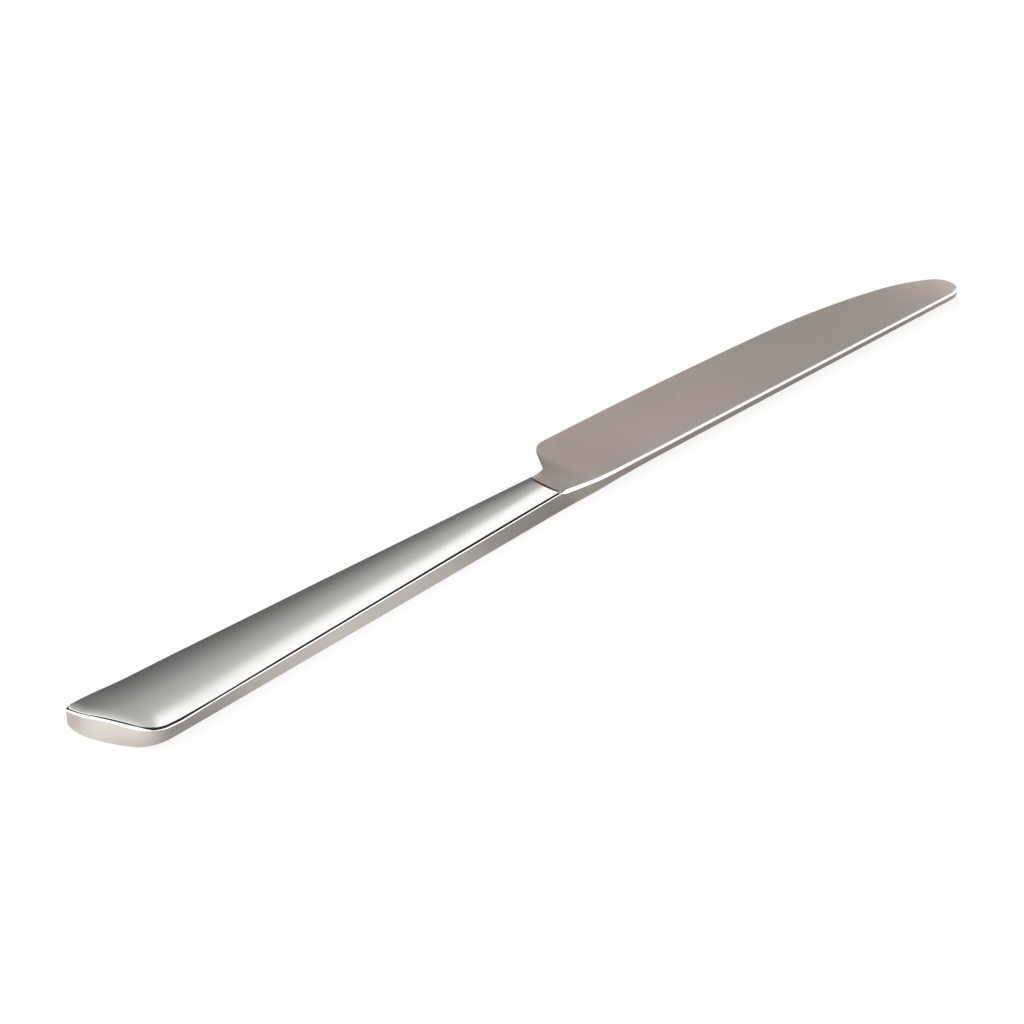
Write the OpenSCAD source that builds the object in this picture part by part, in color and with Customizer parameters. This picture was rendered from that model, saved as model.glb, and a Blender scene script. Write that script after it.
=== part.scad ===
// Hollow-handle table knife: a forged blade with a bolster and a flat tang, set in a handle
// of two pressed half shells that are brazed together round their rims.
// The knife lies on its side. +X runs from the butt to the tip, +Y towards the cutting edge
// and +Z up. The origin is under the middle of the handle, on the plane that the knife rests on.
// All sizes are in millimetres.

/* [Handle] */
// Length of the handle, from its mouth to the furthest point of its butt
handle_l = 105.3; // [80:0.5:140]
// Width of the handle at its mouth
neck_w = 8.2; // [7.6:0.1:11]
// Width of the handle across its butt, if its corners were sharp
butt_w = 17; // [13:0.1:24]
// Thickness of the handle over the flat lands of its two faces
handle_t = 4.75; // [4.2:0.05:8]
// Width of the flat land along the middle of each face
land_w = 4.8; // [2:0.1:6]
// Drop of both crowned faces, from the land to the sides of the butt
crown_drop = 1.35; // [0.8:0.05:1.6]
// Length of the square stretch of the butt, measured from its far corner
butt_square_l = 4.15; // [2:0.05:7]
// Angle by which the rest of the butt slants forward, in degrees
butt_rake = 25.5; // [5:0.5:35]
// Corner radius of the butt on the side of the cutting edge
far_corner_r = 1.8; // [0.8:0.1:2]
// Radius where the square stretch of the butt turns into the slanting one
butt_bend_r = 12; // [4:0.5:20]
// Corner radius of the butt on the side of the spine
near_corner_r = 6; // [2:0.1:7]

/* [Shells and brazing] */
// Wall of the pressed shells
shell_t = 0.7; // [0.5:0.05:0.9]
// Thickness of the brazed seam between the rims of the shells
seam_t = 0.16; // [0.08:0.01:0.3]
// Thickness of the brazed joint between the handle's mouth and the bolster
mouth_joint_t = 0.25; // [0.15:0.01:0.4]
// Depth of the fine line that the mouth joint leaves all round
mouth_sink = 0.06; // [0.02:0.01:0.12]

/* [Blade] */
// Length of the blade, from the mouth of the handle to its tip
blade_l = 128.1; // [100:0.5:170]
// Distance of the cutting edge from the knife's centre line, at the heel
edge_y = 13.95; // [12:0.05:18]
// Distance of the spine from the knife's centre line, where it leaves the bolster
spine_y = 4.8; // [4.5:0.05:5.6]
// How much further out the spine lies by the time it reaches the tip
spine_flare = 1.65; // [0.5:0.05:3]
// Thickness of the blade at the spine, by the bolster
spine_t = 2; // [1.6:0.05:2.6]
// Thickness of the blade at the spine, at the tip
tip_t = 1.5; // [1.2:0.05:2]
// Thickness of the blade at the thinnest place of its cutting edge
edge_t = 0.2; // [0.15:0.01:0.4]
// Width of the sloping shoulder along each side of the spine
shoulder_w = 0.7; // [0.3:0.05:1.2]
// Depth of that shoulder
shoulder_h = 0.4; // [0.15:0.05:0.6]

/* [Bolster and heel] */
// Length over which the bolster sweeps down to the blade
ramp_l = 28; // [20:0.5:36]
// Length over which the spine flares from the neck to the blade
flare_l = 9; // [6:0.5:14]
// Radius of the hollow between the neck and the heel
hollow_r = 4; // [1:0.1:5]
// Distance of the hollow's corner from the mouth of the handle
hollow_x = 5.3; // [4:0.1:7]
// Angle between the back of the heel and the centre line, in degrees
heel_rake = 58; // [45:0.5:75]
// Corner radius of the heel
heel_r = 4.5; // [1:0.1:6]

/* [Tang] */
// Length of the plug that fills the handle's mouth
plug_l = 5; // [3:0.1:8]
// Distance that is left between the end of the tang and the butt of the handle
tang_room = 23.3; // [16:0.1:45]
// Width of the tang where it leaves the plug
tang_root_w = 5.6; // [4.5:0.1:6]
// Width of the tang at its end
tang_end_w = 7.4; // [5:0.1:9]
// Thickness of the tang
tang_t = 2.2; // [1.6:0.05:2.6]
// Radius of the keying notches along both edges of the tang
notch_r = 0.9; // [0.5:0.05:1.2]
// Film of clearance between the blade's plug or tang, the filler and the shells
fit_gap = 0.05; // [0.03:0.01:0.1]

/* [Hidden] */

// Largest turn of one step along a round corner, in degrees
arc_step = 3;
// Largest distance between such a step and the true arc
arc_sag = 0.02;
// Facets of the true circles, and of the bolster's wide sweep
round_fn = 96;
sweep_fn = 480;
// Depth by which the bolster's sweep runs under the face of the blade, so that the two cross
sweep_bite = 0.1;
// Overrun of every cut past the face that it goes through
eps = 0.5;
// A length that is longer than anything it has to clear
reach = handle_l + blade_l;

// Corners of the outline from the tip to the cutting edge. Each has its place as a share of the
// blade's length and of the cutting edge's distance, and its radius as a share of that length.
belly_shares = [
    [1.007, -0.01, 0.028],
    [0.943, 0.417, 0.245],
    [0.76, 0.82, 1.467],
    [0.365, 1, 10],
];
// The corner where the tip turns into the spine: its place and its radius, as shares of the length
tip_corner_share = 0.976;
tip_round_share = 0.03;
// Radius where the flare of the bolster runs out along the spine, as a share of the length
flare_round_share = 0.5;
// How far the neck opens towards the hollow, as a share of the neck's width
neck_open_share = 0.045;
// Places of the keying notches along the tang, as shares of its length behind the plug
notch_shares = [0.3, 0.6, 0.9];

// Distance from the handle's mouth to the end of the tang
tang_l = handle_l - tang_room;
// Height of the land above the axis of the crown
crown_axis = ((butt_w * butt_w - land_w * land_w) / (4 * crown_drop) + crown_drop) / 2;
// Radius of the crown that both faces have across the handle
crown_r = sqrt(crown_axis * crown_axis + land_w * land_w / 4);
// Height by which the full crown would stand above the land that cuts it
crown_rise = crown_r - crown_axis;
// Half thickness that the ground face loses with each unit of width, so that its cutting edge
// is nowhere thinner than it should be
face_slope = min([
    for (share = belly_shares)
        (spine_t / 2 - (spine_t - tip_t) / 2 * share[0] - edge_t / 2)
        / (share[1] * edge_y + spine_y)
]);
// Half thickness at which the bolster's sweep bottoms out, just under the face of the blade
toe_z = face_z(ramp_l, 0) - sweep_bite;
// Radius of the bolster's sweep
sweep_r = (ramp_l * ramp_l + pow(handle_t / 2 - toe_z, 2)) / (handle_t - 2 * toe_z);

// A vector of length 1 along v
function unit(v) = v / norm(v);

// The third part of the cross product of two flat vectors
function turn(u, v) = u[0] * v[1] - u[1] * v[0];

// The point where the line through p along u crosses the line through q along v
function crossing(p, u, q, v) = p + u * turn(q - p, v) / turn(u, v);

// A closed outline with each edge moved inwards by its own distance. Edge i starts at point i,
// and the points run anticlockwise.
function inset(points, gaps) = [
    for (i = [0 : len(points) - 1])
        let (
            n = len(points),
            before = unit(points[i] - points[(i + n - 1) % n]),
            after = unit(points[(i + 1) % n] - points[i]),
            gap_before = gaps[(i + n - 1) % n]
        )
        crossing(
            points[i] + gap_before * [-before[1], before[0]], before,
            points[i] + gaps[i] * [-after[1], after[0]], after
        )
];

// The angle by which the outline turns at each point, positive to the left
function turns(points) = [
    for (i = [0 : len(points) - 1])
        let (
            n = len(points),
            before = unit(points[i] - points[(i + n - 1) % n]),
            after = unit(points[(i + 1) % n] - points[i])
        )
        atan2(turn(before, after), before * after)
];

// The largest share of each corner's own radius that leaves room for its neighbours' corners
function room(points, lengths) = [
    for (i = [0 : len(points) - 1])
        let (
            n = len(points),
            left = lengths[i] + lengths[(i + n - 1) % n],
            right = lengths[i] + lengths[(i + 1) % n]
        )
        min(
            1,
            left > 0 ? norm(points[i] - points[(i + n - 1) % n]) / left : 1,
            right > 0 ? norm(points[i] - points[(i + 1) % n]) / right : 1
        )
];

// The number of steps along an arc that turns by an angle
function arc_steps(r, angle) =
    let (sag_turns = abs(angle) * PI / 180 * sqrt(r / (8 * arc_sag)))
    ceil(max(1, abs(angle) / arc_step, sag_turns));

// A closed outline with each corner replaced by an arc of its own radius
function rounded(points, radii) =
    let (
        n = len(points),
        angles = turns(points),
        wanted = [for (i = [0 : n - 1]) radii[i] * tan(abs(angles[i]) / 2)],
        shares = room(points, wanted)
    )
    [
        for (i = [0 : n - 1])
            let (
                before = unit(points[i] - points[(i + n - 1) % n]),
                side = sign(angles[i]),
                r = radii[i] * shares[i],
                steps = r > 0 ? arc_steps(r, angles[i]) : 0,
                start = points[i] - before * wanted[i] * shares[i],
                centre = start + side * r * [-before[1], before[0]],
                first = atan2(start[1] - centre[1], start[0] - centre[0])
            )
            for (k = [0 : steps])
                r > 0
                    ? centre + r * [
                        cos(first + angles[i] * k / steps),
                        sin(first + angles[i] * k / steps)
                    ]
                    : points[i]
    ];

// The sharp corners of the handle's plan, anticlockwise from the near side of its mouth
function handle_corners() =
    let (
        near_mouth = [0, -neck_w / 2],
        far_mouth = [0, neck_w / 2],
        far_butt = [-handle_l, butt_w / 2],
        bend = far_butt - [0, butt_square_l],
        side = [-handle_l, (neck_w - butt_w) / 2],
        slant = [sin(butt_rake), -cos(butt_rake)]
    )
    [near_mouth, far_mouth, far_butt, bend, crossing(bend, slant, near_mouth, side)];

// The handle's plan, drawn in by gap all round and ending at front along X
function handle_plan(gap, front) =
    rounded(
        inset(handle_corners(), [-front, gap, gap, gap, gap]),
        [0, 0, max(far_corner_r - gap, 0), max(butt_bend_r - gap, 0), max(near_corner_r - gap, 0)]
    );

// The blade's plan, anticlockwise from the near side of the handle's mouth
function blade_plan() =
    let (
        near_mouth = [0, -neck_w / 2],
        flare = [flare_l, -spine_y],
        tip_corner = [tip_corner_share * blade_l, -spine_y - spine_flare],
        hollow = [hollow_x, neck_w / 2 + neck_open_share * neck_w],
        heel = hollow + (edge_y - hollow[1]) * [1 / tan(heel_rake), 1],
        far_mouth = [0, neck_w / 2],
        belly = [for (share = belly_shares) [share[0] * blade_l, share[1] * edge_y]],
        belly_r = [for (share = belly_shares) share[2] * blade_l]
    )
    rounded(
        concat([near_mouth, flare, tip_corner], belly, [heel, hollow, far_mouth]),
        concat(
            [0, flare_round_share * blade_l, tip_round_share * blade_l],
            belly_r,
            [heel_r, hollow_r, 0]
        )
    );

// Half thickness of the ground blade at a place in its plan
function face_z(x, y) =
    spine_t / 2
    - (spine_t - tip_t) / 2 * x / blade_l
    - face_slope * (y + spine_y);

// Puts the model on its resting plane, with the origin under the middle of the handle
module placed() {
    translate([handle_l / 2, 0, handle_t / 2])
        children();
}

// Everything under the plane through three points
module under_plane(p, q, r) {
    normal = unit(cross(q - p, r - p));
    up = normal[2] < 0 ? -normal : normal;
    translate(p)
        rotate(a = acos(up[2]), v = [-up[1], up[0], 0])
            translate([-reach, -reach, -reach])
                cube([2 * reach, 2 * reach, reach]);
}

// The area under the upper face of the handle's section, drawn in by gap: a crown that a flat
// land cuts
module under_crown(gap) {
    intersection() {
        translate([0, handle_t / 2 + crown_rise - crown_r])
            circle(r = crown_r - gap, $fn = round_fn);
        translate([-crown_r, handle_t / 2 - gap - 2 * crown_r])
            square([2 * crown_r, 2 * crown_r]);
    }
}

// The solid form of the handle, drawn in by gap all round and ending at front along X
module handle_form(gap, front) {
    intersection() {
        translate([-handle_l - eps, 0, 0])
            rotate([90, 0, 90])
                linear_extrude(height = handle_l + front + 2 * eps)
                    intersection() {
                        under_crown(gap);
                        mirror([0, 1])
                            under_crown(gap);
                    }
        linear_extrude(height = 2 * handle_t, center = true)
            polygon(handle_plan(gap, front));
    }
}

// What the sweep takes off the upper side of the bolster, as by a wide wheel whose rim is
// hollowed to the handle's crown and land, and so keeps both as it goes down to the blade
module sweep_wheel() {
    translate([ramp_l, 0, toe_z + sweep_r])
        rotate([90, 0, 0])
            rotate_extrude($fn = sweep_fn)
                difference() {
                    translate([0, -crown_r])
                        square([sweep_r + handle_t, 2 * crown_r]);
                    intersection() {
                        translate([sweep_r - crown_rise + crown_r, 0])
                            circle(r = crown_r, $fn = round_fn);
                        translate([sweep_r, -crown_r])
                            square([2 * crown_r, 2 * crown_r]);
                    }
                }
}

// The bolster: it leaves the mouth with the handle's own section and sweeps down on both sides
module bolster() {
    difference() {
        intersection() {
            linear_extrude(height = handle_t, center = true)
                polygon(blade_plan());
            translate([0, -reach, -reach])
                cube([ramp_l, 2 * reach, 2 * reach]);
        }
        sweep_wheel();
        mirror([0, 0, 1])
            sweep_wheel();
    }
}

// The upper side of the blade, as all that lies under its ground face and under the shoulder
// along its spine
module ground_side() {
    tip_spine_y = spine_y + spine_flare;
    intersection() {
        under_plane(
            [0, -spine_y, face_z(0, -spine_y)],
            [blade_l, -spine_y, face_z(blade_l, -spine_y)],
            [0, edge_y, face_z(0, edge_y)]
        );
        under_plane(
            [flare_l, -spine_y, face_z(flare_l, -spine_y) - shoulder_h],
            [blade_l, -tip_spine_y, face_z(blade_l, -tip_spine_y) - shoulder_h],
            [flare_l, shoulder_w - spine_y, face_z(flare_l, shoulder_w - spine_y)]
        );
    }
}

// The ground blade, tapering from its spine to its edge and from its heel to its tip
module ground_blade() {
    intersection() {
        linear_extrude(height = 2 * handle_t, center = true)
            polygon(blade_plan());
        ground_side();
        mirror([0, 0, 1])
            ground_side();
    }
}

// The tang behind the plug, grown by gap all round, with its keying notches
module tang(gap) {
    root_w = tang_root_w + 2 * gap;
    end_w = tang_end_w + 2 * gap;
    linear_extrude(height = tang_t + 2 * gap, center = true)
        difference() {
            polygon([
                [-plug_l + eps, -root_w / 2],
                [-plug_l + eps, root_w / 2],
                [-tang_l - gap, end_w / 2],
                [-tang_l - gap, -end_w / 2],
            ]);
            for (share = notch_shares)
                for (side = [-1, 1])
                    translate([
                        -plug_l - share * (tang_l - plug_l),
                        side * (root_w + share * (end_w - root_w)) / 2
                    ])
                        circle(r = notch_r - gap, $fn = round_fn);
        }
}

// One pressed half shell, with its rim at the seam and its mouth open
module half_shell() {
    intersection() {
        difference() {
            handle_form(0, -mouth_joint_t);
            handle_form(shell_t, eps);
        }
        translate([-reach, -reach, seam_t / 2])
            cube([2 * reach, 2 * reach, handle_t]);
    }
}

module blade() {
    color("darkgray")
        placed() {
            ground_blade();
            bolster();
            intersection() {
                handle_form(shell_t + fit_gap, eps);
                translate([-plug_l, -reach, -reach])
                    cube([plug_l + eps, 2 * reach, 2 * reach]);
            }
            tang(0);
        }
}

module upper_shell() {
    color("gainsboro")
        placed()
            half_shell();
}

module lower_shell() {
    color("silver")
        placed()
            mirror([0, 0, 1])
                half_shell();
}

module seam_braze() {
    color("goldenrod")
        placed()
            linear_extrude(height = seam_t, center = true)
                difference() {
                    polygon(handle_plan(0, -mouth_joint_t));
                    polygon(handle_plan(shell_t, eps));
                }
}

module mouth_braze() {
    color("sienna")
        placed()
            intersection() {
                difference() {
                    handle_form(mouth_sink, eps);
                    handle_form(shell_t + fit_gap, 2 * eps);
                }
                translate([-mouth_joint_t, -reach, -reach])
                    cube([mouth_joint_t, 2 * reach, 2 * reach]);
            }
}

module handle_filler() {
    color("tan")
        placed()
            difference() {
                handle_form(shell_t + fit_gap, -plug_l - fit_gap);
                tang(fit_gap);
            }
}

blade();
upper_shell();
lower_shell();
seam_braze();
mouth_braze();
handle_filler();
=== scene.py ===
"""A hollow-handle table knife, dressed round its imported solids.

Two pressed half shells, polished on their crowned faces and satin on their walls, are brazed
together and hold a satin blade, whose bolster meets them at a thin brazed line.
"""

import logging
import math
from dataclasses import dataclass, replace
from enum import Enum

import bpy
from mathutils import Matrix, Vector

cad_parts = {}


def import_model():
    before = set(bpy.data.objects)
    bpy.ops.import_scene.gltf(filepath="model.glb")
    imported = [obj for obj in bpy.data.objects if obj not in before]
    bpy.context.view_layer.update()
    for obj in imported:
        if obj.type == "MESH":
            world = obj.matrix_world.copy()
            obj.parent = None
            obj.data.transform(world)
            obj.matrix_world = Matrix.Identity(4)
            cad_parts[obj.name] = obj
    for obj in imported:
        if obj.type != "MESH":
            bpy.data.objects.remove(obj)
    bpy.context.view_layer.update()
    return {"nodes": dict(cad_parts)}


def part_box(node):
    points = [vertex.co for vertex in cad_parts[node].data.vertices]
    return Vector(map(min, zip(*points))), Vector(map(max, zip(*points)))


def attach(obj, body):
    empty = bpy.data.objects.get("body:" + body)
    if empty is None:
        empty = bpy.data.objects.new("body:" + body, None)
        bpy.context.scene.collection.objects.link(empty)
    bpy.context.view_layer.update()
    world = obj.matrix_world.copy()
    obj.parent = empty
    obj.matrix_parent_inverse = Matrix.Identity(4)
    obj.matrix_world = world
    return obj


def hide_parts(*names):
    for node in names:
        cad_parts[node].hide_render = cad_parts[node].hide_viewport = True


log = logging.getLogger("table_knife")

MM = 0.001
MERGE = 0.0004 * MM

Span = tuple[float, float]
Table = tuple[Span, ...]
Triple = tuple[float, float, float]
Stops = list[tuple[float, tuple[float, ...]]]
Material = bpy.types.Material
Piece = bpy.types.Object


class Slot(Enum):
    """The record's material slots of the pieces that are modelled here."""

    SATIN = "satin_steel"
    POLISHED = "polished_steel"
    DARK_BRAZE = "dark_braze"


class Side(Enum):
    """A half of the knife, above or below the plane between its shells."""

    UPPER = 1
    LOWER = -1


def mix(start: float, end: float, share: float) -> float:
    """The value that lies a share of the way from start to end."""
    return start + (end - start) * share


def ease(low: float, high: float, value: float) -> float:
    """A smooth rise from 0 at low to 1 at high."""
    share = min(1.0, max(0.0, (value - low) / (high - low)))
    return share * share * (3 - 2 * share)


def turn(u: Vector, v: Vector) -> float:
    """The third part of the cross product of two flat vectors."""
    return u.x * v.y - u.y * v.x


def crossing(p: Vector, u: Vector, q: Vector, v: Vector) -> Vector:
    """The point where the line through p along u crosses the line through q along v."""
    return p + u * (turn(q - p, v) / turn(u, v))


@dataclass(frozen=True)
class Outline:
    """A closed plan: sharp corners, anticlockwise, each rounded by its own radius."""

    corners: list[Vector]
    radii: list[float]
    sag: float = 0.002 * MM

    def _around(self, i: int) -> tuple[Vector, Vector]:
        """The directions of the edges before and after corner i."""
        here, after = self.corners[i], self.corners[(i + 1) % len(self.corners)]
        return (here - self.corners[i - 1]).normalized(), (after - here).normalized()

    def _bend(self, i: int) -> float:
        """The angle by which the outline turns at corner i, positive to the left."""
        before, after = self._around(i)
        return math.atan2(turn(before, after), before.dot(after))

    def _reach(self, i: int) -> float:
        """The length of edge that corner i takes up at its full radius."""
        return self.radii[i] * math.tan(abs(self._bend(i)) / 2)

    def _room(self, i: int) -> float:
        """The share of a corner's radius that leaves room for its neighbours.

        Args:
            i: The corner's place in the outline.

        Returns:
            The share, which is 1 where the whole radius fits.
        """
        n = len(self.corners)
        share = 1.0
        for other in (i - 1, (i + 1) % n):
            both = self._reach(i) + self._reach(other)
            if both > 0:
                share = min(share, (self.corners[i] - self.corners[other]).length / both)
        return share

    def arc(self, i: int) -> list[Vector]:
        """The points of the rounded corner i.

        Args:
            i: The corner's place in the outline.

        Returns:
            The points along its arc, or the corner itself where its radius is 0.
        """
        radius = self.radii[i] * self._room(i)
        if radius <= 0:
            return [self.corners[i].copy()]
        before, _ = self._around(i)
        bend = self._bend(i)
        start = self.corners[i] - before * self._reach(i) * self._room(i)
        left = Vector((-before.y, before.x)) * math.copysign(1, bend)
        centre = start + left * radius
        step = 2 * math.acos(max(-1.0, 1 - self.sag / radius))
        count = max(2, math.ceil(abs(bend) / step))
        spoke = start - centre
        points = []
        for k in range(count + 1):
            angle = bend * k / count
            c, s = math.cos(angle), math.sin(angle)
            points.append(centre + Vector((spoke.x * c - spoke.y * s, spoke.x * s + spoke.y * c)))
        return points

    def run(self, corners: list[int]) -> list[Vector]:
        """The outline's points along some of its corners.

        Args:
            corners: The corners' places in the outline, all rising or all falling.

        Returns:
            The points, in the order of the corners.
        """
        points: list[Vector] = []
        forward = (corners[1] - corners[0]) % len(self.corners) == 1
        for i in corners:
            points += self.arc(i) if forward else self.arc(i)[::-1]
        return points


def between(table: Table, place: float) -> float:
    """The value of a table at a place.

    Args:
        table: Rising places, each with its value.
        place: The place that the value is read at.

    Returns:
        The value, on the straight lines between the table's places.
    """
    for (low, start), (high, end) in zip(table, table[1:]):
        if place <= high:
            return mix(start, end, max(0.0, (place - low) / (high - low)))
    return table[-1][1]


def at_x(line: list[Vector], x: float) -> Vector:
    """The point of a line at a place along X.

    Args:
        line: Points whose x keeps rising, or keeps falling.
        x: The place along X.

    Returns:
        The point of the line there.
    """
    for p, q in zip(line, line[1:]):
        if min(p.x, q.x) <= x <= max(p.x, q.x) and p.x != q.x:
            return p + (q - p) * ((x - p.x) / (q.x - p.x))
    return min(line, key=lambda p: abs(p.x - x)).copy()


def beyond(line: list[Vector], x: float, step: float) -> list[Vector]:
    """The points of a line past a place along X, with long steps divided.

    Args:
        line: Points that run from the mouth of the handle outwards.
        x: The place along X that the points lie past.
        step: The longest step that stays whole.

    Returns:
        The points, in the line's own order.
    """
    away = math.copysign(1, line[-1].x - line[0].x)
    points = [at_x(line, x)] + [p for p in line if (p.x - x) * away > 0]
    fine: list[Vector] = []
    for p, q in zip(points, points[1:]):
        count = max(1, math.ceil((q - p).length / step))
        fine += [p + (q - p) * (k / count) for k in range(count)]
    return fine[1:] + [points[-1]]


@dataclass(frozen=True)
class Post:
    """A place on a plan's rim, with the way inwards from it and the place that its row ends at."""

    rim: Vector
    inward: Vector
    middle: Vector


@dataclass(frozen=True)
class Rounding:
    """The rounding of a rim: its width, its depth, and how full its curve is."""

    width: float
    depth: float
    power: float = 2.0
    steps: int = 8

    def cuts(self) -> list[Span]:
        """The points of the rounding.

        Returns:
            How far each of them lies inwards and down, from the wall to the face.
        """
        pairs = []
        for k in range(self.steps + 1):
            angle = math.pi / 2 * k / self.steps
            inset = self.width * (1 - math.cos(angle) ** (2 / self.power))
            drop = self.depth * (1 - math.sin(angle) ** (2 / self.power))
            pairs.append((inset, drop))
        return pairs

    def scaled(self, share: float) -> "Rounding":
        """This rounding at another size."""
        return Rounding(self.width * share, self.depth * share, self.power, self.steps)

    def blend(self, other: "Rounding", share: float) -> "Rounding":
        """A rounding between this one and another.

        Args:
            other: The other rounding.
            share: How much of the way to it the new one lies.

        Returns:
            The new rounding, with as many steps as this one.
        """
        return Rounding(
            mix(self.width, other.width, share),
            mix(self.depth, other.depth, share),
            mix(self.power, other.power, share),
            self.steps,
        )


def posts(near: list[Vector], far: list[Vector], stops: list[float], step: float) -> list[Post]:
    """Posts all along a plan's rim, from the near side of the mouth round to the far side.

    Args:
        near: The near side of the plan, from the mouth outwards to the plan's end.
        far: The far side of the plan, from the mouth outwards to the plan's end.
        stops: Places along X at which the two sides have facing posts.
        step: The longest step between the posts past the last stop.

    Returns:
        The posts. Facing ones end at the same place, and all past the last stop end at one.
    """
    near_side = [at_x(near, x) for x in stops]
    far_side = [at_x(far, x) for x in stops]
    middles = [(p + q) / 2 for p, q in zip(near_side, far_side)]
    near_end, far_end = beyond(near, stops[-1], step), beyond(far, stops[-1], step)[::-1]
    gap = far_end[0] - near_end[-1]
    count = math.ceil(gap.length / step)
    bridge = [near_end[-1] + gap * (k / count) for k in range(1, count)]
    outer = near_end + bridge + far_end[0 if count else 1 :]
    rims = near_side + outer + far_side[::-1]
    ends = middles + [middles[-1]] * len(outer) + middles[::-1]
    made = []
    for i, (rim, middle) in enumerate(zip(rims, ends)):
        if i in (0, len(rims) - 1):
            inward = Vector((0, math.copysign(1, middle.y - rim.y)))
        else:
            along = (rims[i + 1] - rims[i - 1]).normalized()
            inward = Vector((-along.y, along.x))
            if inward.dot(middle - rim) < 0:
                inward = -inward
        made.append(Post(rim, inward, middle))
    return made


def deselect() -> None:
    """Leaves edit mode and deselects every object."""
    if bpy.context.object and bpy.context.object.mode != "OBJECT":
        bpy.ops.object.mode_set(mode="OBJECT")
    bpy.ops.object.select_all(action="DESELECT")


def wrap(name: str, rows: list[list[Vector]]) -> Piece:
    """Adds a grid and wraps it over rows of places, then closes it where its edges meet.

    Args:
        name: The piece's name.
        rows: Rows of places, all of one length.

    Returns:
        The piece, in edit mode.
    """
    deselect()
    bpy.ops.mesh.primitive_grid_add(
        x_subdivisions=len(rows[0]) - 1, y_subdivisions=len(rows) - 1, size=1, location=(0, 0, 0)
    )
    piece = bpy.context.active_object
    piece.name = piece.data.name = name
    for vertex, place in zip(piece.data.vertices, (p for row in rows for p in row)):
        vertex.co = place
    bpy.ops.object.mode_set(mode="EDIT")
    bpy.ops.mesh.select_all(action="SELECT")
    bpy.ops.mesh.remove_doubles(threshold=MERGE)
    bpy.ops.mesh.select_all(action="DESELECT")
    bpy.ops.mesh.select_mode(type="EDGE")
    bpy.ops.mesh.select_non_manifold()
    bpy.ops.mesh.edge_face_add()
    return piece


def finish_mesh(piece: Piece, crease: float = 40.0) -> None:
    """Points a piece's faces outwards, and shades it smooth but for its creases.

    Args:
        piece: The piece.
        crease: The angle between faces, in degrees, from which an edge stays sharp.
    """
    deselect()
    piece.select_set(True)
    bpy.context.view_layer.objects.active = piece
    bpy.ops.object.mode_set(mode="EDIT")
    bpy.ops.mesh.select_all(action="SELECT")
    bpy.ops.mesh.remove_doubles(threshold=MERGE)
    bpy.ops.mesh.normals_make_consistent(inside=False)
    bpy.ops.object.mode_set(mode="OBJECT")
    bpy.ops.object.shade_smooth_by_angle(angle=math.radians(crease))


@dataclass(frozen=True)
class Signal:
    """A socket's value, which can be used in Python expressions."""

    graph: "Graph"
    socket: bpy.types.NodeSocket

    def _math(self, operation: str, *terms: "Signal | float") -> "Signal":
        """A Math node over the terms."""
        return self.graph.node("Math", dict(enumerate(terms)), {"operation": operation})

    def __add__(self, other: "Signal | float") -> "Signal":
        """self + other."""
        return self._math("ADD", self, other)

    def __radd__(self, other: float) -> "Signal":
        """other + self."""
        return self._math("ADD", other, self)

    def __sub__(self, other: "Signal | float") -> "Signal":
        """self - other."""
        return self._math("SUBTRACT", self, other)

    def __rsub__(self, other: float) -> "Signal":
        """other - self."""
        return self._math("SUBTRACT", other, self)

    def __mul__(self, other: "Signal | float") -> "Signal":
        """self * other."""
        return self._math("MULTIPLY", self, other)

    def __rmul__(self, other: float) -> "Signal":
        """other * self."""
        return self._math("MULTIPLY", other, self)

    def __truediv__(self, other: "Signal | float") -> "Signal":
        """self / other."""
        return self._math("DIVIDE", self, other)

    def __rtruediv__(self, other: float) -> "Signal":
        """other / self."""
        return self._math("DIVIDE", other, self)

    def angle_to(self, other: "Signal") -> "Signal":
        """The angle of the point (other, self) in degrees."""
        return self._math("ARCTAN2", self, other) * math.degrees(1)

    def root(self) -> "Signal":
        """The square root of self."""
        return self._math("SQRT", self)

    def top(self, other: "Signal | float") -> "Signal":
        """The larger of self and other."""
        return self._math("MAXIMUM", self, other)

    def rise(self, low: float, high: float) -> "Signal":
        """A smooth rise from 0 at low to 1 at high."""
        smooth = {"interpolation_type": "SMOOTHSTEP"}
        return self.graph.node("MapRange", {0: self, 1: low, 2: high}, smooth)


class Graph:
    """A node tree that is written as expressions."""

    def __init__(self, owner: Material | bpy.types.World) -> None:
        """Empties a node tree.

        Args:
            owner: What the tree belongs to.
        """
        owner.use_nodes = True
        self.tree = owner.node_tree
        self.tree.nodes.clear()

    def node(
        self,
        kind: str,
        inputs: "dict[int | str, Signal | float | tuple[float, ...]] | None" = None,
        settings: dict[str, object] | None = None,
        output: int | str = 0,
    ) -> Signal:
        """Adds a node.

        Args:
            kind: The node's type, without the ShaderNode before it.
            inputs: Values or signals of its sockets, by place or name.
            settings: Properties, or a ramp's stops, that are set first.
            output: The socket that the signal reads.

        Returns:
            The signal of the output socket.
        """
        made = self.tree.nodes.new(f"ShaderNode{kind}")
        for key, value in (settings or {}).items():
            if key == "stops":
                self._set_stops(made.color_ramp.elements, value)
            else:
                setattr(made, key, value)
        for key, value in (inputs or {}).items():
            if isinstance(value, Signal):
                self.tree.links.new(value.socket, made.inputs[key])
            else:
                made.inputs[key].default_value = value
        return Signal(self, made.outputs[output] if made.outputs else made.inputs[0])

    @staticmethod
    def _set_stops(elements: bpy.types.ColorRampElements, stops: Stops) -> None:
        """Gives a ramp its stops.

        Args:
            elements: The ramp's elements.
            stops: Places from 0 to 1, each with its linear colour.
        """
        while len(elements) < len(stops):
            elements.new(1.0)
        for element, (place, colour) in zip(elements, stops):
            element.position = place
            element.color = (*colour, 1.0)

    def ramp(self, stops: Stops, share: Signal) -> Signal:
        """The colour of a ramp at a share of its length."""
        return self.node("ValToRGB", {0: share}, {"stops": stops})


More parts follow.
